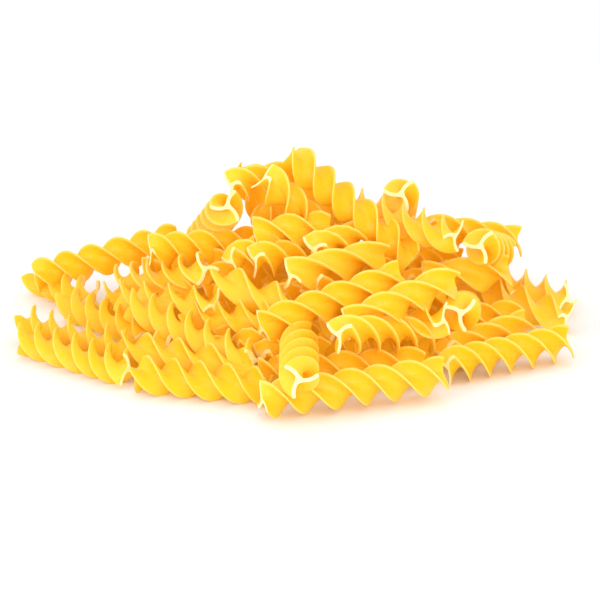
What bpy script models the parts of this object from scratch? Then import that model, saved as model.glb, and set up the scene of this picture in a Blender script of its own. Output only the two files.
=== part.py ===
# Heap of dry fusilli pasta, as it lies on a flat surface.
# Each fusillo is three thin curved blades round a slim middle, twisted to the right.
# The pieces that show are fused onto a plain mound, so that the heap is one solid.
# Metres, +Z up. The origin is on the surface, below the middle of the heap.
# X runs along the heap's longest side, and -Y is the side that the eye meets first.

import math
import random

import bmesh
import bpy
import numpy as np
from mathutils import Matrix, Vector

MM = 0.001

# One fusillo
BLADES = 3
BLADE_REACH = 4.4 * MM          # from the middle line to a blade's edge
BLADE_ROOT = 1.25 * MM          # depth of the valley between two blades
BLADE_LEAN = math.radians(31)   # how far a blade's edge runs ahead of its root
TWIST_STEP = math.radians(50)   # turn from one cross-section to the next

# The mound under the pieces: its outline on the surface in mm, and its rings from there up,
# each as a share of the outline and a height
MOUND_OUTLINE = ((-10, -56), (18, -52), (38, -38), (60, -24), (60, -8), (63, 7), (57, 24), (44, 39),
                 (20, 49), (-8, 53), (-30, 47), (-34, 27), (-44, 22), (-62, 22), (-60, 4), (-62, -10),
                 (-58, -22), (-38, -40), (-28, -47))
MOUND_MIDDLE = (4 * MM, -4 * MM)
MOUND_RINGS = ((0.97, 1.2 * MM), (0.72, 4.5 * MM), (0.42, 13 * MM), (0.2, 25 * MM), (0.1, 27.5 * MM))

# The pieces that lie on the far side, where a rule places them
FAR_PIECES = 10
FAR_SEED = 13
FAR_TRIES = 12000
LENGTHS = (27, 35)              # mm
PITCHES = (16, 17, 18, 19, 20, 22)
SPACING = 6.8                   # mm between two middle lines
DROP_STEP = 1.0                 # mm
BEADS = 9                       # points along a middle line, for the spacing

MOVE = (0.0, 5.5 * MM, 0.0)   # brings the middle of the finished heap over the origin

PASTA_COLOUR = (1.0, 0.62, 0.06, 1.0)
PASTA_ROUGHNESS = 0.45

# Each piece's middle x, y, z in mm, heading and tilt in degrees, length and pitch
# in mm, and its turn about its own middle line in degrees.
FRONT_ROW = {
    "frontLong": (12.5, -55.2, 5.2, 18, 1.5, 42.5, 21, 52),
    "frontLeftMid": (-21.5, -48.5, 4.5, -16, 0, 31, 19, 57),
    "frontLeftOut": (-51.0, -29.5, 4.4, -41, 0, 34, 17, 82),
    "secondLeft": (-51.5, -17.5, 4.5, -38, 0, 34, 17, 118),
    "thirdLeft": (-45.5, -4.0, 4.6, -48, 0, 32, 18, 71),
    "leftUnder": (-25.0, -38.0, 6.0, -26, 0, 34, 24, 86),
    "lowCentre": (10.0, -42.0, 4.6, 11, 0, 38, 22, 28),
    "towardEye": (0.5, -52.0, 11.0, -90, 2, 32, 21, 62),
}
LEFT_SLOPE = {
    "backLeftFloor": (-58.0, 20.5, 4.4, -48, 0, 24, 17, 30),
    "backLeftLong": (-47.5, 24.5, 10.8, 12, 12, 37, 19.2, 106),
    "leftFat": (-24.0, -28.0, 9.0, -48, -4, 43, 20, 90),
    "upperLeft": (-19.5, 7.0, 19.0, 18, -1, 33, 17, 14),
    "lowLeftEnd": (-32.5, 3.0, 13.0, 131, -18, 34, 20, 105),
    "leftCross": (-30.5, -13.0, 11.5, -36, 6, 28, 22, 41),
    "leftInner": (-14.0, -2.0, 14.0, 25, 0, 20, 18, 20),
    "midLeft": (-9.5, -19.5, 15.5, -44, -3, 25, 34, 113),
    "behindFat": (-14.5, -24.5, 10.8, -24, 8, 25, 18, 11),
}
MIDDLE = {
    "midTop": (0.4, -3.4, 19.4, 34, -7, 25, 16.5, 31),
    "centreUpper": (9.3, -15.2, 20.9, 36, 0, 27, 31, 72),
    "centreLong": (8.0, -31.0, 17.0, 24, 12, 36, 22, 119),
    "centreRight": (24.0, -32.5, 17.5, 36, 10, 30, 23.5, 6),
    "curled": (21.0, -37.0, 11.3, 45, -14, 34, 19, 60),
    "rightStub": (21.3, -24.3, 11.3, 145, -8, 30, 20, 0),
    "rightCurl": (39.0, -14.0, 9.6, -95, 16, 30, 18, 80),
}
RIGHT_SLOPE = {
    "rightFloor": (48.5, -30.5, 4.4, 30, 0, 33, 17, 92),
    "rightFloorBack": (44.5, -21.0, 4.6, 44, 0, 28, 24, 60),
    "rightInner": (43.5, -6.5, 4.6, 15, 0, 20, 20, 40),
    "rightMid": (52.5, 4.0, 6.0, -36, -5, 30, 22, 7),
    "rightBack": (54.0, 23.0, 4.5, -46, 0, 35, 19, 110),
    "rightBlade": (40.5, 0.0, 13.8, 22, -2, 22, 30, 48),
    "rightEndOn": (46.7, 5.5, 18.9, 74, -19, 25, 18, 0),
    "rightTopBack": (43.0, 18.0, 18.2, 28, -15, 27, 22, 85),
}
CROWN = {
    "rightCrown": (25.5, 1.6, 27.2, -43, -3, 32, 18.5, 80),
    "backCrown": (25.5, 26.0, 24.0, 89, -25, 33, 16, 0),
    "crownLong": (13.0, 1.5, 30.5, -23, -35, 39, 19.7, 102),
    "crownFront": (0.2, 4.2, 28.8, 15, -47, 24, 18, 24),
    "crownLeft": (-6.8, 16.0, 33.0, 35, -2, 22, 18, 109),
    "crownTip": (-8.0, 21.0, 24.5, 130, 45, 24, 18, 30),
    "crownLow": (-20.3, 17.9, 21.7, 105, -30, 33, 18, 64),
    "crownUnder": (1.5, 10.3, 19.3, -8, -39, 26, 18, 101),
    "crownBehind": (7.0, 11.0, 26.5, -30, -30, 22, 18, 50),
    "crownInner": (-5.5, 26.0, 20.0, 80, -20, 22, 18, 40),
    "backProp": (19.5, 26.0, 12.8, 0, 60, 24, 18, 0),
}


def pasta_material():
    material = bpy.data.materials.new("dryPasta")
    material.use_nodes = True
    shader = material.node_tree.nodes["Principled BSDF"]
    shader.inputs["Base Color"].default_value = PASTA_COLOUR
    shader.inputs["Roughness"].default_value = PASTA_ROUGHNESS
    shader.inputs["Metallic"].default_value = 0.0
    return material


def new_collection(name):
    collection = bpy.data.collections.new(name)
    bpy.context.scene.collection.children.link(collection)
    return collection


def add_object(name, mesh, collection):
    piece = bpy.data.objects.new(name, mesh)
    collection.objects.link(piece)
    return piece


def star_face(shape):
    # a blade's edge is a point of the star, and each valley lies half way between two blades
    corners = []
    for blade in range(BLADES):
        root = blade * math.tau / BLADES
        for reach, angle in ((BLADE_ROOT, root - math.radians(25)), (BLADE_REACH, root + BLADE_LEAN)):
            corners.append(shape.verts.new((0.0, reach * math.cos(angle), reach * math.sin(angle))))
    return shape.faces.new(corners)


def fusillo_mesh(name, length, pitch, turn):
    shape = bmesh.new()
    face = star_face(shape)
    twist = math.tau * length / pitch
    steps = max(4, round(twist / TWIST_STEP))
    start = Matrix.Translation((-length / 2, 0.0, 0.0)) @ Matrix.Rotation(turn - twist / 2, 4, "X")
    bmesh.ops.transform(shape, matrix=start, verts=shape.verts)
    bmesh.ops.spin(shape, geom=list(face.verts) + list(face.edges) + [face], cent=(0.0, 0.0, 0.0),
                   axis=(1.0, 0.0, 0.0), dvec=(length / steps, 0.0, 0.0), angle=twist, steps=steps,
                   use_merge=False, use_duplicate=False)
    bmesh.ops.recalc_face_normals(shape, faces=shape.faces)
    bmesh.ops.triangulate(shape, faces=shape.faces)
    mesh = bpy.data.meshes.new(name)
    shape.to_mesh(mesh)
    shape.free()
    return mesh


def direction(heading, tilt):
    heading, tilt = math.radians(heading), math.radians(tilt)
    return Vector((math.cos(heading) * math.cos(tilt), math.sin(heading) * math.cos(tilt), math.sin(tilt)))


def add_fusillo(name, row, material, collection):
    x, y, z, heading, tilt, length, pitch, turn = row
    piece = add_object(name, fusillo_mesh(name, length * MM, pitch * MM, math.radians(turn)), collection)
    piece.location = Vector((x, y, z)) * MM
    piece.rotation_euler = (0.0, -math.radians(tilt), math.radians(heading))
    piece.data.materials.append(material)
    return piece


def beads(row):
    # points along a piece's middle line, in mm
    x, y, z, heading, tilt, length = row[:6]
    along = np.linspace(-0.46, 0.46, BEADS)[:, None] * length
    return np.array((x, y, z)) + along * np.array(direction(heading, tilt))


def far_roof(x, y):
    # the highest that a far-side piece may lie, in mm: it stays hidden behind the crown
    if y < 4 or x < -38 or x > 55:
        return 0.0
    sight = 108 if x < -8 else 134 if x < 14 else 116 if x < 44 else 100
    slope = (sight - 1.28 * y) / 3.95 - 4.6
    return min(slope, 26.0) if math.hypot((x - 8) / 52, (y - 4) / 53) < 1 else 0.0


def far_rows(rows):
    # each piece comes down on what lies there already, and is left out where it would stick up
    random_draw = random.Random(FAR_SEED)
    lying = np.vstack([beads(row) for row in rows])
    far = []
    for _ in range(FAR_TRIES):
        if len(far) == FAR_PIECES:
            break
        x, y = random_draw.uniform(-36, 54), random_draw.uniform(8, 51)
        heading, tilt = random_draw.uniform(-90, 90), random_draw.choice((-20, -10, 0, 0, 10, 20))
        length, pitch = random_draw.uniform(*LENGTHS), random_draw.choice(PITCHES)
        turn = random_draw.uniform(0, 120)
        z = 4.5 + abs(math.sin(math.radians(tilt))) * length / 2
        while z < 30:
            row = (x, y, z, heading, tilt, length, pitch, turn)
            line = beads(row)
            if any(point[2] > far_roof(point[0], point[1]) for point in line):
                break
            if np.sqrt(((line[:, None] - lying[None]) ** 2).sum(2)).min() >= SPACING:
                far.append(row)
                lying = np.vstack((lying, line))
                break
            z += DROP_STEP
    return far


def mound_mesh():
    # the outline's face is drawn up and in, ring by ring
    shape = bmesh.new()
    corners = [shape.verts.new((x * MM, y * MM, 0.0)) for x, y in MOUND_OUTLINE]
    top = shape.faces.new(corners)
    share, height = 1.0, 0.0
    for ring_share, ring_height in MOUND_RINGS:
        drawn = bmesh.ops.extrude_face_region(shape, geom=[top])["geom"]
        if height > 0.0:
            bmesh.ops.delete(shape, geom=[top], context="FACES_ONLY")
        top = next(part for part in drawn if isinstance(part, bmesh.types.BMFace))
        about = Matrix.Translation((-MOUND_MIDDLE[0], -MOUND_MIDDLE[1], 0.0))
        bmesh.ops.scale(shape, vec=(ring_share / share,) * 2 + (1.0,), space=about, verts=top.verts)
        bmesh.ops.translate(shape, vec=(0.0, 0.0, ring_height - height), verts=top.verts)
        share, height = ring_share, ring_height
    bmesh.ops.recalc_face_normals(shape, faces=shape.faces)
    bmesh.ops.triangulate(shape, faces=shape.faces)
    mesh = bpy.data.meshes.new("mound")
    shape.to_mesh(mesh)
    shape.free()
    return mesh


def keep_largest(mesh):
    # a scrap that the joining leaves loose, or a sealed hollow, is a shell of its own and is dropped
    shape = bmesh.new()
    shape.from_mesh(mesh)
    waiting = set(shape.verts)
    shells = []
    while waiting:
        shell, edge_of_shell = set(), [waiting.pop()]
        while edge_of_shell:
            corner = edge_of_shell.pop()
            shell.add(corner)
            for edge in corner.link_edges:
                other = edge.other_vert(corner)
                if other in waiting:
                    waiting.remove(other)
                    edge_of_shell.append(other)
        shells.append(shell)
    shells.sort(key=len)
    for shell in shells[:-1]:
        bmesh.ops.delete(shape, geom=list(shell), context="VERTS")
    bmesh.ops.triangulate(shape, faces=shape.faces)
    shape.to_mesh(mesh)
    shape.free()
    print("shells", [len(shell) for shell in shells], "triangles", len(mesh.polygons))


def fuse(heap, pieces):
    union = heap.modifiers.new("union", "BOOLEAN")
    union.operation = "UNION"
    union.operand_type = "COLLECTION"
    union.collection = pieces
    union.solver = "MANIFOLD"
    bpy.context.view_layer.update()
    evaluated = heap.evaluated_get(bpy.context.evaluated_depsgraph_get())
    joined = bpy.data.meshes.new_from_object(evaluated)
    heap.modifiers.remove(union)
    heap.data = joined
    for piece in list(pieces.objects):
        bpy.data.objects.remove(piece)
    bpy.data.collections.remove(pieces)
    keep_largest(joined)


def main():
    for old in list(bpy.data.objects):
        bpy.data.objects.remove(old)
    material = pasta_material()
    whole = new_collection("fusilliHeap")
    pieces = new_collection("pieces")
    shown = {**FRONT_ROW, **LEFT_SLOPE, **MIDDLE, **RIGHT_SLOPE, **CROWN}
    for name, row in shown.items():
        add_fusillo(name, row, material, pieces)
    for number, row in enumerate(far_rows(list(shown.values()))):
        add_fusillo(f"far{number:02d}", row, material, pieces)
    print("pieces", len(pieces.objects))
    heap = add_object("fusilli_heap", mound_mesh(), whole)
    heap.data.materials.append(material)
    fuse(heap, pieces)
    heap.data.transform(Matrix.Translation(MOVE))


main()
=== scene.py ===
import math
import random

import bmesh
import bpy
import numpy as np
from mathutils import Matrix, Vector


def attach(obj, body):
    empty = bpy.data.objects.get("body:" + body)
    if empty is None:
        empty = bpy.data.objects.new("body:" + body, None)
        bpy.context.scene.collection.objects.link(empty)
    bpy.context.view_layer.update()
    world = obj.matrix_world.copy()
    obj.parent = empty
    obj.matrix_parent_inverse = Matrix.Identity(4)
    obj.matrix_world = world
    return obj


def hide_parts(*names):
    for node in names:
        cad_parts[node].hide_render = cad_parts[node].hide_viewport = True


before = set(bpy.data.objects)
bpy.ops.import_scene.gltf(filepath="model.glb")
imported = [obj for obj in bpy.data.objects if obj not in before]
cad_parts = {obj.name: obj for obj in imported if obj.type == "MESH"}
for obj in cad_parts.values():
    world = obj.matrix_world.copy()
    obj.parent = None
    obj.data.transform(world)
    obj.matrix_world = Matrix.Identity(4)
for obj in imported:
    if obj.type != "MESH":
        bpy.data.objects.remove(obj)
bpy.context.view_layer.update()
mm = 0.001
move = (0.0, 5.5, 0.0)      # mm, brings the middle of the heap over the origin
restHeight = 4.5            # mm from the floor to the middle line of a piece that lies flat
# Each fusillo: middle x, y, z in mm, heading and tilt in degrees, length, pitch, turn
frontRow = {
    "frontLong": (12.5, -55.2, 5.2, 18, 1.5, 42.5, 21, 52),
    "frontLeftMid": (-21.5, -48.5, 4.5, -16, 0, 31, 19, 57),
    "frontLeftOut": (-51.0, -29.5, 4.4, -41, 0, 34, 17, 82),
    "secondLeft": (-51.5, -17.5, 4.5, -38, 0, 34, 17, 118),
    "thirdLeft": (-45.5, -4.0, 4.6, -48, 0, 32, 18, 71),
    "leftUnder": (-25.0, -38.0, 6.0, -26, 0, 34, 24, 86),
    "lowCentre": (10.0, -42.0, 4.6, 11, 0, 38, 22, 28),
    "towardEye": (0.5, -52.0, 11.0, -90, 2, 32, 21, 62),
}
leftSlope = {
    "backLeftFloor": (-58.0, 20.5, 4.4, -48, 0, 24, 17, 30),
    "backLeftLong": (-47.5, 24.5, 10.8, 12, 12, 37, 19.2, 106),
    "leftFat": (-24.0, -28.0, 9.0, -48, -4, 43, 20, 90),
    "upperLeft": (-19.5, 7.0, 19.0, 18, -1, 33, 17, 14),
    "lowLeftEnd": (-32.5, 3.0, 13.0, 131, -18, 34, 20, 105),
    "leftCross": (-30.5, -13.0, 11.5, -36, 6, 28, 22, 41),
    "leftInner": (-14.0, -2.0, 14.0, 25, 0, 20, 18, 20),
    "midLeft": (-9.5, -19.5, 15.5, -44, -3, 25, 34, 113),
    "behindFat": (-14.5, -24.5, 10.8, -24, 8, 25, 18, 11),
}
middle = {
    "midTop": (0.4, -3.4, 19.4, 34, -7, 25, 16.5, 31),
    "centreUpper": (9.3, -15.2, 20.9, 36, 0, 27, 31, 72),
    "centreLong": (8.0, -31.0, 17.0, 24, 12, 36, 22, 119),
    "centreRight": (24.0, -32.5, 17.5, 36, 10, 30, 23.5, 6),
    "curled": (21.0, -37.0, 11.3, 45, -14, 34, 19, 60),
    "rightStub": (21.3, -24.3, 11.3, 145, -8, 30, 20, 0),
    "rightCurl": (39.0, -14.0, 9.6, -95, 16, 30, 18, 80),
}
rightSlope = {
    "rightFloor": (48.5, -30.5, 4.4, 30, 0, 33, 17, 92),
    "rightFloorBack": (44.5, -21.0, 4.6, 44, 0, 28, 24, 60),
    "rightInner": (43.5, -6.5, 4.6, 15, 0, 20, 20, 40),
    "rightMid": (52.5, 4.0, 6.0, -36, -5, 30, 22, 7),
    "rightBack": (54.0, 23.0, 4.5, -46, 0, 35, 19, 110),
    "rightBlade": (40.5, 0.0, 13.8, 22, -2, 22, 30, 48),
    "rightEndOn": (46.7, 5.5, 18.9, 74, -19, 25, 18, 0),
    "rightTopBack": (43.0, 18.0, 18.2, 28, -15, 27, 22, 85),
}
crown = {
    "rightCrown": (25.5, 1.6, 27.2, -43, -3, 32, 18.5, 80),
    "backCrown": (25.5, 26.0, 24.0, 89, -25, 33, 16, 0),
    "crownLong": (13.0, 1.5, 30.5, -23, -35, 39, 19.7, 102),
    "crownFront": (0.2, 4.2, 28.8, 15, -47, 24, 18, 24),
    "crownLeft": (-6.8, 16.0, 33.0, 35, -2, 22, 18, 109),
    "crownTip": (-8.0, 21.0, 24.5, 130, 45, 24, 18, 30),
    "crownLow": (-20.3, 17.9, 21.7, 105, -30, 33, 18, 64),
    "crownUnder": (1.5, 10.3, 19.3, -8, -39, 26, 18, 101),
    "crownBehind": (7.0, 11.0, 26.5, -30, -30, 22, 18, 50),
    "crownInner": (-5.5, 26.0, 20.0, 80, -20, 22, 18, 40),
    "backProp": (19.5, 26.0, 12.8, 0, 60, 24, 18, 0),
}

# where the hidden pieces lie
farSettings = {
    "pieces": 10,
    "seed": 13,
    "tries": 12000,
    "across": (-36, 54),     # mm, where their middles lie
    "back": (8, 51),
    "tilts": (-20, -10, 0, 0, 10, 20),
    "lengths": (27, 35),
    "pitches": (16, 17, 18, 19, 20, 22),
    "spacing": 6.8,          # mm between two middle lines
    "step": 1.0,             # mm that a piece is raised at a time until it lies free
    "top": 30,               # mm
    "beads": 9,              # points that stand for a middle line
    "beadReach": 0.46,       # share of the length on each side of the middle
}


def direction(heading, tilt):
    heading, tilt = math.radians(heading), math.radians(tilt)
    return Vector((math.cos(heading) * math.cos(tilt), math.sin(heading) * math.cos(tilt), math.sin(tilt)))


def beads(row):      # points along a middle line
    x, y, z, heading, tilt, length = row[:6]
    reach = farSettings["beadReach"]
    along = np.linspace(-reach, reach, farSettings["beads"])[:, None] * length
    return np.array((x, y, z)) + along * np.array(direction(heading, tilt))


def gapTo(line, lying):
    return np.sqrt(((line[:, None] - lying[None]) ** 2).sum(2)).min()


def leastHeight(tilt, length):      # of the middle of a tilted piece that stands on the floor
    return restHeight + abs(math.sin(math.radians(tilt))) * length / 2


roofSettings = {
    "sides": (-38, 55),      # mm, and no far piece lies past these
    "front": 4,
    "skyline": ((-8, 108), (14, 134), (44, 116), (math.inf, 100)),      # up to this x, pixels up the photo
    "pixelsDeep": 1.28,      # that one mm further back moves a point up the photo
    "pixelsHigh": 3.95,      # that one mm higher does
    "clear": 4.6,            # mm under the skyline
    "highest": 26.0,
    "middle": (8, 4),
    "halfSize": (52, 53),
}


def farRoof(x, y):      # the highest a far piece may lie, hidden behind the crown
    left, right = roofSettings["sides"]
    if y < roofSettings["front"] or x < left or x > right:
        return 0.0
    (middleX, middleY), (halfX, halfY) = roofSettings["middle"], roofSettings["halfSize"]
    if math.hypot((x - middleX) / halfX, (y - middleY) / halfY) >= 1:
        return 0.0
    sight = next(pixels for edge, pixels in roofSettings["skyline"] if x < edge)
    slope = (sight - roofSettings["pixelsDeep"] * y) / roofSettings["pixelsHigh"] - roofSettings["clear"]
    return min(slope, roofSettings["highest"])


def farRows(rows):      # each comes down on what lies there already
    draw = random.Random(farSettings["seed"])
    lying = np.vstack([beads(row) for row in rows])
    far = []
    for _ in range(farSettings["tries"]):
        if len(far) == farSettings["pieces"]:
            break
        x, y = draw.uniform(*farSettings["across"]), draw.uniform(*farSettings["back"])
        heading, tilt = draw.uniform(-90, 90), draw.choice(farSettings["tilts"])
        length, pitch = draw.uniform(*farSettings["lengths"]), draw.choice(farSettings["pitches"])
        turn = draw.uniform(0, 120)
        z = leastHeight(tilt, length)
        while z < farSettings["top"]:
            row = (x, y, z, heading, tilt, length, pitch, turn)
            line = beads(row)
            if any(point[2] > farRoof(point[0], point[1]) for point in line):
                break
            if gapTo(line, lying) >= farSettings["spacing"]:
                far.append(row)
                lying = np.vstack((lying, line))
                break
            z += farSettings["step"]
    return far


mound = {
    "outline": ((-10, -56), (18, -52), (38, -38), (60, -24), (60, -8), (63, 7), (57, 24), (44, 39),
                (20, 49), (-8, 53), (-30, 47), (-34, 27), (-44, 22), (-62, 22), (-60, 4), (-62, -10),
                (-58, -22), (-38, -40), (-28, -47)),
    "middle": (4, -4),
    "rings": ((0.97, 1.2), (0.72, 4.5), (0.42, 13), (0.2, 25), (0.1, 27.5)),      # share outwards, mm up
}


def moundHeight(x, y):      # how high the mound stands over a point, in mm
    centre = Vector(mound["middle"])
    corners = [Vector(corner) - centre for corner in mound["outline"]]
    point = Vector((x, y)) - centre
    for first, second in zip(corners, corners[1:] + corners[:1]):
        whole = first.cross(second)
        nearFirst, nearSecond = point.cross(second) / whole, first.cross(point) / whole
        if nearFirst >= 0 and nearSecond >= 0:
            share = nearFirst + nearSecond
            break
    shares = [1.0] + [ring[0] for ring in mound["rings"]] + [0.0]
    heights = [0.0] + [ring[1] for ring in mound["rings"]] + [mound["rings"][-1][1]]
    return float(np.interp(share, shares[::-1], heights[::-1]))


floorSettings = {
    "pieces": 30,            # at most, and fewer where no room is left
    "seed": 3,
    "tries": 12000,
    "across": (-36, 58),     # mm
    "back": (14, 50),
    "lengths": (13, 28),
    "spacing": 5.6,
    "inside": 0.2,           # mm that the mound stands at least over the middle line
}


def floorRows(rows):      # lie flat round the back, out to the heap's edge
    draw = random.Random(floorSettings["seed"])
    lying = np.vstack([beads(row) for row in rows])
    flat = []
    for _ in range(floorSettings["tries"]):
        if len(flat) == floorSettings["pieces"]:
            break
        x, y = draw.uniform(*floorSettings["across"]), draw.uniform(*floorSettings["back"])
        heading, length = draw.uniform(-90, 90), draw.uniform(*floorSettings["lengths"])
        pitch, turn = draw.choice(farSettings["pitches"]), draw.uniform(0, 120)
        row = (x, y, restHeight, heading, 0, length, pitch, turn)
        line = beads(row)
        if any(moundHeight(point[0], point[1]) <= floorSettings["inside"] for point in line):
            continue
        if gapTo(line, lying) >= floorSettings["spacing"]:
            flat.append(row)
            lying = np.vstack((lying, line))
    return flat


innerSettings = {
    "pieces": 88,            # at most, and fewer where no room is left
    "seed": 5,
    "tries": 12000,
    "across": (-50, 56),     # mm
    "depth": (-48, 44),
    "heights": (4.5, 27),
    "tilts": (-15, 15),
    "lengths": (14, 28),
    "spacing": 4.1,
    "headroom": 3.5,         # mm that a middle line may lie over the mound
}


def innerRows(rows):      # what shows dimly between the pieces on top
    draw = random.Random(innerSettings["seed"])
    lying = np.vstack([beads(row) for row in rows])
    inner = []
    for _ in range(innerSettings["tries"]):
        if len(inner) == innerSettings["pieces"]:
            break
        x, y = draw.uniform(*innerSettings["across"]), draw.uniform(*innerSettings["depth"])
        z = draw.uniform(*innerSettings["heights"])
        heading, tilt = draw.uniform(-90, 90), draw.uniform(*innerSettings["tilts"])
        length, pitch = draw.uniform(*innerSettings["lengths"]), draw.choice(farSettings["pitches"])
        turn = draw.uniform(0, 120)
        z = max(z, leastHeight(tilt, length))
        row = (x, y, z, heading, tilt, length, pitch, turn)
        line = beads(row)
        if any(point[2] > moundHeight(point[0], point[1]) + innerSettings["headroom"] for point in line):
            continue
        if gapTo(line, lying) >= innerSettings["spacing"]:
            inner.append(row)
            lying = np.vstack((lying, line))
    return inner


# one fusillo, from its section and its middle line
blade = {
    "reach": 4.4 * mm,           # middle line to the edge
    "bend": math.radians(62),    # from hub to edge
    "thickness": 0.86 * mm,
    "hub": 0.85 * mm,
    "arcPoints": 6,
    "tipPoints": 4,
    "tipRim": 1.25,              # marks the rounded edge, where the blade's side ends at 1
}


def sectionObject():      # the closed outline of three bent blades, with how near the edge each point is
    bend, thickness, hub = blade["bend"], blade["thickness"], blade["hub"]
    arm = blade["reach"] * bend / (2 * math.sin(bend / 2))
    curve = bend / arm
    last = arm - thickness / 2
    points, rims = [], []
    for side in range(3):
        angle = side * math.tau / 3
        near, far = [], []
        for step in range(blade["arcPoints"] + 1):
            s = hub + (last - hub) * step / blade["arcPoints"]
            x, y = math.sin(curve * s) / curve, (1 - math.cos(curve * s)) / curve
            nx, ny = -math.sin(curve * s) * thickness / 2, math.cos(curve * s) * thickness / 2
            near.append((x - nx, y - ny, step / blade["arcPoints"]))
            far.append((x + nx, y + ny, step / blade["arcPoints"]))
        tip = []
        for step in range(1, blade["tipPoints"]):
            tipAngle = curve * last - math.pi / 2 + math.pi * step / blade["tipPoints"]
            tip.append((x + math.cos(tipAngle) * thickness / 2, y + math.sin(tipAngle) * thickness / 2,
                        blade["tipRim"]))
        for px, py, rim in near + tip + far[::-1]:
            points.append((math.cos(angle) * px - math.sin(angle) * py,
                           math.sin(angle) * px + math.cos(angle) * py, 0.0))
            rims.append(rim)
    mesh = bpy.data.meshes.new("bladeSection")
    count = len(points)
    mesh.from_pydata(points, [(i, (i + 1) % count) for i in range(count)], [])
    mesh.attributes.new("rim", "FLOAT", "POINT").data.foreach_set("value", rims)
    arounds = [i / count for i in range(count)]
    mesh.attributes.new("around", "FLOAT", "POINT").data.foreach_set("value", arounds)
    section = bpy.data.objects.new("bladeSection", mesh)
    bpy.context.scene.collection.objects.link(section)
    return section


def makeTwistTree():
    tree = bpy.data.node_groups.new("fusilloTwist", "GeometryNodeTree")
    sockets = (("Middle lines", "NodeSocketGeometry"), ("Section", "NodeSocketObject"),
               ("Ring spacing", "NodeSocketFloat"), ("End taper", "NodeSocketFloat"),
               ("Wave scale", "NodeSocketFloat"), ("Turn wave", "NodeSocketFloat"),
               ("Girth wave", "NodeSocketFloat"), ("Material", "NodeSocketMaterial"))
    for name, kind in sockets:
        tree.interface.new_socket(name, in_out="INPUT", socket_type=kind)
    tree.interface.new_socket("Pasta", in_out="OUTPUT", socket_type="NodeSocketGeometry")
    nodes, link = tree.nodes, tree.links.new
    given, made = nodes.new("NodeGroupInput"), nodes.new("NodeGroupOutput")

    def named(attribute):
        node = nodes.new("GeometryNodeInputNamedAttribute")
        node.data_type = "FLOAT"
        node.inputs["Name"].default_value = attribute
        return node.outputs["Attribute"]

    def maths(operation, first, second, third=None):
        node = nodes.new("ShaderNodeMath")
        node.operation = operation
        for socket, value in zip(node.inputs, (first, second, third)):
            if isinstance(value, bpy.types.NodeSocket):
                link(value, socket)
            elif value is not None:
                socket.default_value = value
        return node.outputs[0]

    lines = nodes.new("GeometryNodeMeshToCurve")
    rings = nodes.new("GeometryNodeResampleCurve")
    rings.mode = "LENGTH"
    upright = nodes.new("GeometryNodeSetCurveNormal")
    upright.mode = "Z_UP"
    twist = nodes.new("GeometryNodeSetCurveTilt")
    width = nodes.new("GeometryNodeSetCurveRadius")
    place = nodes.new("GeometryNodeSplineParameter")
    ends = nodes.new("GeometryNodeCurveEndpointSelection")
    profile = nodes.new("GeometryNodeObjectInfo")
    outline = nodes.new("GeometryNodeMeshToCurve")
    sweep = nodes.new("GeometryNodeCurveToMesh")
    sweep.inputs["Fill Caps"].default_value = True
    link(given.outputs["Middle lines"], lines.inputs["Mesh"])
    link(lines.outputs["Curve"], rings.inputs["Curve"])
    link(given.outputs["Ring spacing"], rings.inputs["Length"])
    keepLength = nodes.new("GeometryNodeStoreNamedAttribute")      # how far along, for the grain
    keepLength.data_type, keepLength.domain = "FLOAT", "POINT"
    keepLength.inputs["Name"].default_value = "along"
    link(rings.outputs["Curve"], keepLength.inputs["Geometry"])
    link(place.outputs["Length"], keepLength.inputs["Value"])
    link(keepLength.outputs["Geometry"], upright.inputs["Curve"])
    link(upright.outputs["Curve"], twist.inputs["Curve"])
    wave = nodes.new("ShaderNodeTexNoise")      # a real piece is never quite even
    wave.inputs["Detail"].default_value = 0.0
    link(given.outputs["Wave scale"], wave.inputs["Scale"])
    uneven = maths("SUBTRACT", wave.outputs["Fac"], 0.5)
    evenTurn = maths("MULTIPLY_ADD", place.outputs["Length"], named("twistRate"), named("firstTurn"))
    link(maths("MULTIPLY_ADD", uneven, given.outputs["Turn wave"], evenTurn), twist.inputs["Tilt"])
    link(twist.outputs["Curve"], width.inputs["Curve"])
    taper = maths("MULTIPLY", ends.outputs["Selection"], given.outputs["End taper"])
    evenGirth = maths("MULTIPLY", named("girth"), maths("SUBTRACT", 1.0, taper))
    link(maths("MULTIPLY", evenGirth, maths("MULTIPLY_ADD", uneven, given.outputs["Girth wave"], 1.0)),
         width.inputs["Radius"])
    link(given.outputs["Section"], profile.inputs["Object"])
    link(profile.outputs["Geometry"], outline.inputs["Mesh"])
    link(width.outputs["Curve"], sweep.inputs["Curve"])
    link(outline.outputs["Curve"], sweep.inputs["Profile Curve"])
    corners = nodes.new("GeometryNodeInputMeshFaceNeighbors")
    cutEnds = nodes.new("GeometryNodeStoreNamedAttribute")      # the two cut faces
    cutEnds.data_type, cutEnds.domain = "FLOAT", "FACE"
    cutEnds.inputs["Name"].default_value = "cutEnd"
    link(sweep.outputs["Mesh"], cutEnds.inputs["Geometry"])
    link(maths("GREATER_THAN", corners.outputs["Vertex Count"], 5.0), cutEnds.inputs["Value"])
    real = nodes.new("GeometryNodeRealizeInstances")
    coat = nodes.new("GeometryNodeSetMaterial")
    link(cutEnds.outputs["Geometry"], real.inputs["Geometry"])
    link(real.outputs["Geometry"], coat.inputs["Geometry"])
    link(given.outputs["Material"], coat.inputs["Material"])
    link(coat.outputs["Geometry"], made.inputs["Pasta"])
    return tree


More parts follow.
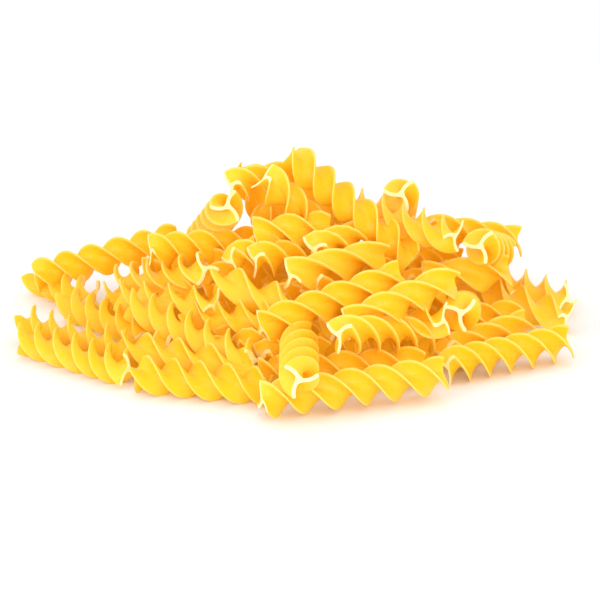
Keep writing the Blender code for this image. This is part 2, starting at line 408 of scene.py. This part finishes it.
def middleLines(name, rows, seed):      # one two-point line for each fusillo
    draw = random.Random(seed)
    points, rates, turns, shades, girths = [], [], [], [], []
    for row in rows:
        x, y, z, heading, tilt, length, pitch, turn = row
        centre = (Vector((x, y, z)) + Vector(move)) * mm
        half = direction(heading, tilt) * length * mm / 2
        points += [centre - half, centre + half]
        rates += [math.tau / (pitch * mm)] * 2
        turns += [math.pi + math.radians(turn) - math.pi * length / pitch] * 2
        shades += [draw.random()] * 2
        girths += [draw.uniform(*twistSettings["girths"])] * 2
    mesh = bpy.data.meshes.new(name)
    mesh.from_pydata(points, [(i, i + 1) for i in range(0, len(points), 2)], [])
    named = {"twistRate": rates, "firstTurn": turns, "pieceShade": shades, "girth": girths}
    for attribute, values in named.items():
        mesh.attributes.new(attribute, "FLOAT", "POINT").data.foreach_set("value", values)
    piece = bpy.data.objects.new(name, mesh)
    bpy.context.scene.collection.objects.link(piece)
    return piece


twistSettings = {
    "ringSpacing": 0.5 * mm,
    "innerSpacing": 1.6 * mm,
    "endTaper": 0.03,
    "sharpAngle": math.radians(45),
    "girths": (0.94, 0.99),  # how slim a piece may be
    "waveScale": 60.0,       # waves per metre
    "turnWave": 0.9,         # radians from trough to crest, at most
    "girthWave": 0.15,       # share of the girth
}


def makePasta(name, rows, spacing, seed, tree, section, material):
    piece = middleLines(name, rows, seed)
    twist = piece.modifiers.new("twist", "NODES")
    twist.node_group = tree
    values = {"Section": section, "Ring spacing": spacing, "End taper": twistSettings["endTaper"],
              "Wave scale": twistSettings["waveScale"], "Turn wave": twistSettings["turnWave"],
              "Girth wave": twistSettings["girthWave"], "Material": material}
    for item in tree.interface.items_tree:
        if item.in_out == "INPUT" and item.name in values:
            twist[item.identifier] = values[item.name]
    bpy.context.view_layer.update()
    evaluated = piece.evaluated_get(bpy.context.evaluated_depsgraph_get())
    mesh = bpy.data.meshes.new_from_object(evaluated)
    piece.modifiers.remove(twist)
    shape = bmesh.new()
    shape.from_mesh(mesh)
    bmesh.ops.recalc_face_normals(shape, faces=shape.faces)
    shape.to_mesh(mesh)
    shape.free()
    mesh.shade_smooth()
    mesh.set_sharp_from_angle(angle=twistSettings["sharpAngle"])
    piece.data = mesh
    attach(piece, "root")
    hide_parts("fusilli_heap")
    print(name, len(rows), "pieces", sum(len(face.vertices) - 2 for face in mesh.polygons), "triangles")
    return piece


# finishes
grainSettings = {
    "size": 900.0,           # specks in a metre
    "patches": 180.0,        # paler and deeper places in a metre
    "streaks": 60.0,         # lines round one section
    "down": 150.0,           # breaks in a metre of line
    "detail": 2.0,
    "speckDetail": 3.0,
    "speckHeight": 0.6,      # against the lines
}


def makeGrain():      # fine flour grain and the faint lines left along a blade
    group = bpy.data.node_groups.new("flourGrain", "ShaderNodeTree")
    group.interface.new_socket("Size", in_out="INPUT", socket_type="NodeSocketFloat")
    group.interface.new_socket("Streaks", in_out="INPUT", socket_type="NodeSocketFloat")
    group.interface.new_socket("Specks", in_out="OUTPUT", socket_type="NodeSocketFloat")
    group.interface.new_socket("Patches", in_out="OUTPUT", socket_type="NodeSocketFloat")
    group.interface.new_socket("Height", in_out="OUTPUT", socket_type="NodeSocketFloat")
    nodes, link = group.nodes, group.links.new
    given, made = nodes.new("NodeGroupInput"), nodes.new("NodeGroupOutput")
    where = nodes.new("ShaderNodeTexCoord")
    specks, patches, lines = [nodes.new("ShaderNodeTexNoise") for _ in range(3)]
    link(where.outputs["Object"], specks.inputs["Vector"])
    link(given.outputs["Size"], specks.inputs["Scale"])
    specks.inputs["Detail"].default_value = grainSettings["speckDetail"]
    link(where.outputs["Object"], patches.inputs["Vector"])
    patches.inputs["Scale"].default_value = grainSettings["patches"]
    patches.inputs["Detail"].default_value = grainSettings["detail"]
    around, along = nodes.new("ShaderNodeAttribute"), nodes.new("ShaderNodeAttribute")
    around.attribute_name, along.attribute_name = "around", "along"
    across = nodes.new("ShaderNodeMath")
    across.operation = "MULTIPLY"
    link(around.outputs["Fac"], across.inputs[0])
    link(given.outputs["Streaks"], across.inputs[1])
    down = nodes.new("ShaderNodeMath")
    down.operation = "MULTIPLY"
    link(along.outputs["Fac"], down.inputs[0])
    down.inputs[1].default_value = grainSettings["down"]
    both = nodes.new("ShaderNodeCombineXYZ")
    link(across.outputs[0], both.inputs["X"])
    link(down.outputs[0], both.inputs["Y"])
    link(both.outputs["Vector"], lines.inputs["Vector"])
    lines.inputs["Scale"].default_value = 1.0
    lines.inputs["Detail"].default_value = grainSettings["detail"]
    height = nodes.new("ShaderNodeMath")
    height.operation = "MULTIPLY_ADD"
    height.inputs[1].default_value = grainSettings["speckHeight"]
    link(specks.outputs["Fac"], height.inputs[0])
    link(lines.outputs["Fac"], height.inputs[2])
    link(specks.outputs["Fac"], made.inputs["Specks"])
    link(patches.outputs["Fac"], made.inputs["Patches"])
    link(height.outputs[0], made.inputs["Height"])
    return group


paintedGlow = (1.0, 0.66, 0.01, 1.0)      # painted glow: a faint emission that lifts the shade, standing in for light that comes through the thin blades
pastaSettings = {
    "pale": (1.0, 0.575, 0.03, 1.0),
    "deep": (1.0, 0.55, 0.012, 1.0),
    # pale flour specks, and along the blade edges partly their own paler tone, partly a painted highlight
    "edge": (1.0, 0.67, 0.22, 1.0),
    "cut": (1.0, 0.88, 0.44, 1.0),
    "pieceTint": 0.55,       # how far one piece may differ from the next
    "patchTint": 0.35,
    "speckTint": 0.25,
    "rimToneAndHighlight": 0.5,
    "roughness": (0.36, 0.5),
    "bump": 0.25,
    "bumpHeight": 0.05 * mm,
    "even": {                # the same all over
        "Subsurface Weight": 0.3,
        "Subsurface Radius": (1.0, 0.6, 0.15),
        "Subsurface Scale": 2.5 * mm,
        "IOR": 1.45,
        "Specular IOR Level": 0.35,
        # painted glow, an emission all over the pasta that lifts its shade
        "Emission Color": paintedGlow,
        "Emission Strength": 0.065,
    },
}


def makePastaFinish(grain):
    material = bpy.data.materials.new("dryPasta")
    material.use_nodes = True
    nodes, link = material.node_tree.nodes, material.node_tree.links.new
    shader = nodes["Principled BSDF"]
    texture = nodes.new("ShaderNodeGroup")
    texture.node_tree = grain
    texture.inputs["Size"].default_value = grainSettings["size"]
    texture.inputs["Streaks"].default_value = grainSettings["streaks"]

    def attribute(name):
        node = nodes.new("ShaderNodeAttribute")
        node.attribute_name = name
        return node.outputs["Fac"]

    def spread(value, low, high, least, most):
        node = nodes.new("ShaderNodeMapRange")
        link(value, node.inputs["Value"])
        for socket, number in zip(("From Min", "From Max", "To Min", "To Max"), (low, high, least, most)):
            node.inputs[socket].default_value = number
        return node.outputs["Result"]

    def blend(share, first, second):
        node = nodes.new("ShaderNodeMix")
        node.data_type = "RGBA"
        link(share, node.inputs["Factor"])
        for socket, value in ((node.inputs[6], first), (node.inputs[7], second)):
            if isinstance(value, bpy.types.NodeSocket):
                link(value, socket)
            else:
                socket.default_value = value
        return node.outputs[2]

    def add(first, second):
        node = nodes.new("ShaderNodeMath")
        node.operation = "ADD"
        node.use_clamp = True
        link(first, node.inputs[0])
        link(second, node.inputs[1])
        return node.outputs[0]

    tint = add(spread(attribute("pieceShade"), 0.0, 1.0, 0.0, pastaSettings["pieceTint"]),
               spread(texture.outputs["Patches"], 0.35, 0.65, 0.0, pastaSettings["patchTint"]))
    body = blend(tint, pastaSettings["pale"], pastaSettings["deep"])
    speckled = spread(texture.outputs["Specks"], 0.55, 0.75, 0.0, pastaSettings["speckTint"])
    body = blend(speckled, body, pastaSettings["edge"])
    # the rounded blade edge painted paler: partly the rough edge's own paler tone, partly a painted
    # highlight
    paleRimAndHighlight = spread(attribute("rim"), 1.0, blade["tipRim"], 0.0, pastaSettings["rimToneAndHighlight"])
    edge = blend(paleRimAndHighlight, body, pastaSettings["edge"])
    link(blend(attribute("cutEnd"), edge, pastaSettings["cut"]), shader.inputs["Base Color"])
    rough = spread(texture.outputs["Patches"], 0.3, 0.7, *pastaSettings["roughness"])
    link(rough, shader.inputs["Roughness"])
    bump = nodes.new("ShaderNodeBump")
    bump.inputs["Strength"].default_value = pastaSettings["bump"]
    bump.inputs["Distance"].default_value = pastaSettings["bumpHeight"]
    link(texture.outputs["Height"], bump.inputs["Height"])
    link(bump.outputs["Normal"], shader.inputs["Normal"])
    for name, value in pastaSettings["even"].items():
        shader.inputs[name].default_value = value
    return material


coreSettings = {
    "shrink": 0.66,          # of the mound's outline
    "sink": 4.0,             # mm under the mound
    "top": 8.5,              # mm, and the inner pieces fill what is above
    "foot": 0.3,             # mm over the floor
    "lift": 0.6,             # mm, keeps the lowest rings apart
    "shades": ((1.0, 0.50, 0.008, 1.0), (1.0, 0.58, 0.012, 1.0)),
    "patches": 220.0,        # in a metre
    # painted glow from the hidden core, which lifts the shade in the gaps between the pieces
    "even": {"Roughness": 0.7, "Emission Color": paintedGlow, "Emission Strength": 0.2},
}


def makeCoreFinish():
    material = bpy.data.materials.new("deepPasta")
    material.use_nodes = True
    nodes, link = material.node_tree.nodes, material.node_tree.links.new
    shader = nodes["Principled BSDF"]
    noise = nodes.new("ShaderNodeTexNoise")
    where = nodes.new("ShaderNodeTexCoord")
    ramp = nodes.new("ShaderNodeMix")
    ramp.data_type = "RGBA"
    link(where.outputs["Object"], noise.inputs["Vector"])
    noise.inputs["Scale"].default_value = coreSettings["patches"]
    link(noise.outputs["Fac"], ramp.inputs["Factor"])
    ramp.inputs[6].default_value, ramp.inputs[7].default_value = coreSettings["shades"]
    link(ramp.outputs[2], shader.inputs["Base Color"])
    for name, value in coreSettings["even"].items():
        shader.inputs[name].default_value = value
    return material


def makeCore(material):      # closes the heap behind the last gaps
    shape = bmesh.new()
    middleX, middleY = mound["middle"]
    loops = []
    for share, height in ((1.0, 0.0), *mound["rings"]):
        scale = share * coreSettings["shrink"]
        high = min(max(height - coreSettings["sink"], 0.0), coreSettings["top"])
        high += coreSettings["lift"] if height else coreSettings["foot"]
        loops.append([shape.verts.new(((middleX + (x - middleX) * scale + move[0]) * mm,
                                       (middleY + (y - middleY) * scale + move[1]) * mm, high * mm))
                      for x, y in mound["outline"]])
    for low, top in zip(loops, loops[1:]):
        for i in range(len(low)):
            j = (i + 1) % len(low)
            shape.faces.new((low[i], low[j], top[j], top[i]))
    shape.faces.new(loops[0])
    shape.faces.new(loops[-1])
    bmesh.ops.recalc_face_normals(shape, faces=shape.faces)
    mesh = bpy.data.meshes.new("heapCore")
    shape.to_mesh(mesh)
    shape.free()
    mesh.materials.append(material)
    mesh.shade_smooth()
    core = bpy.data.objects.new("heapCore", mesh)
    bpy.context.scene.collection.objects.link(core)
    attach(core, "root")
    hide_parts("fusilli_heap")
    return core


# floor, light and camera
studio = {
    "sky": 1.02,
    "lamps": {               # watts, size and place in metres
        "key": (0.9, 0.5, (-0.5, -0.3, 0.4)),
        "fill": (1.9, 0.5, (0.08, -0.62, 0.16)),
    },
    "lampsAimAt": (0, 0, 0.02),
    "floor": (0.93, 0.93, 0.93, 1.0),
    "floorHalf": 3,          # metres
}


def makeStudio():
    world = bpy.context.scene.world or bpy.data.worlds.new("studio")
    bpy.context.scene.world = world
    world.use_nodes = True
    sky = world.node_tree.nodes["Background"]
    sky.inputs["Color"].default_value = (1.0, 1.0, 1.0, 1.0)
    sky.inputs["Strength"].default_value = studio["sky"]
    mesh = bpy.data.meshes.new("floor")
    half = studio["floorHalf"]
    corners = [(-half, -half, 0), (half, -half, 0), (half, half, 0), (-half, half, 0)]
    mesh.from_pydata(corners, [], [(0, 1, 2, 3)])
    paper = bpy.data.materials.new("whitePaper")
    paper.use_nodes = True
    paper.node_tree.nodes["Principled BSDF"].inputs["Base Color"].default_value = studio["floor"]
    paper.node_tree.nodes["Principled BSDF"].inputs["Roughness"].default_value = 0.9
    paper.node_tree.nodes["Principled BSDF"].inputs["Specular IOR Level"].default_value = 0.0
    mesh.materials.append(paper)
    floor = bpy.data.objects.new("floor", mesh)
    bpy.context.scene.collection.objects.link(floor)
    for name, (power, size, place) in studio["lamps"].items():
        light = bpy.data.lights.new(name, "AREA")
        light.energy, light.size = power, size
        lamp = bpy.data.objects.new(name, light)
        lamp.location = place
        aim = Vector(studio["lampsAimAt"]) - lamp.location
        lamp.rotation_euler = aim.to_track_quat("-Z", "Y").to_euler()
        bpy.context.scene.collection.objects.link(lamp)
    bpy.context.scene.view_settings.view_transform = "Standard"


eye = {
    "elevation": 18.0,
    "distance": 640 * mm,
    "lens": 159.3,           # mm
    "sensor": 36.0,          # mm
    "aim": (0.7, 0.0, 7.6),  # mm
}


def makeCamera():
    lens = bpy.data.cameras.new("photoCamera")
    lens.lens, lens.sensor_width = eye["lens"], eye["sensor"]
    camera = bpy.data.objects.new("photoCamera", lens)
    aim = (Vector(eye["aim"]) + Vector(move)) * mm
    lift = math.radians(eye["elevation"])
    camera.location = aim + Vector((0.0, -math.cos(lift), math.sin(lift))) * eye["distance"]
    camera.rotation_euler = (math.pi / 2 - lift, 0.0, 0.0)
    bpy.context.scene.collection.objects.link(camera)
    bpy.context.scene.camera = camera


makeCamera()
makeStudio()
print("camera and studio are ready")
shown = list({**frontRow, **leftSlope, **middle, **rightSlope, **crown}.values())
far = farRows(shown)
far += floorRows(shown + far)
inner = innerRows(shown + far)
print("hidden pieces", len(far), "at the back and", len(inner), "inside")
section = sectionObject()
tree = makeTwistTree()
finish = makePastaFinish(makeGrain())
spacing = twistSettings["ringSpacing"]
makePasta("frontPasta", list({**frontRow, **leftSlope}.values()), spacing, 1, tree, section, finish)
makePasta("middlePasta", list({**middle, **rightSlope}.values()), spacing, 2, tree, section, finish)
makePasta("crownPasta", list(crown.values()), spacing, 3, tree, section, finish)
makePasta("farPasta", far, spacing, 4, tree, section, finish)
makePasta("innerPasta", inner, twistSettings["innerSpacing"], 5, tree, section, finish)
bpy.data.objects.remove(section)
makeCore(makeCoreFinish())
print("core made")
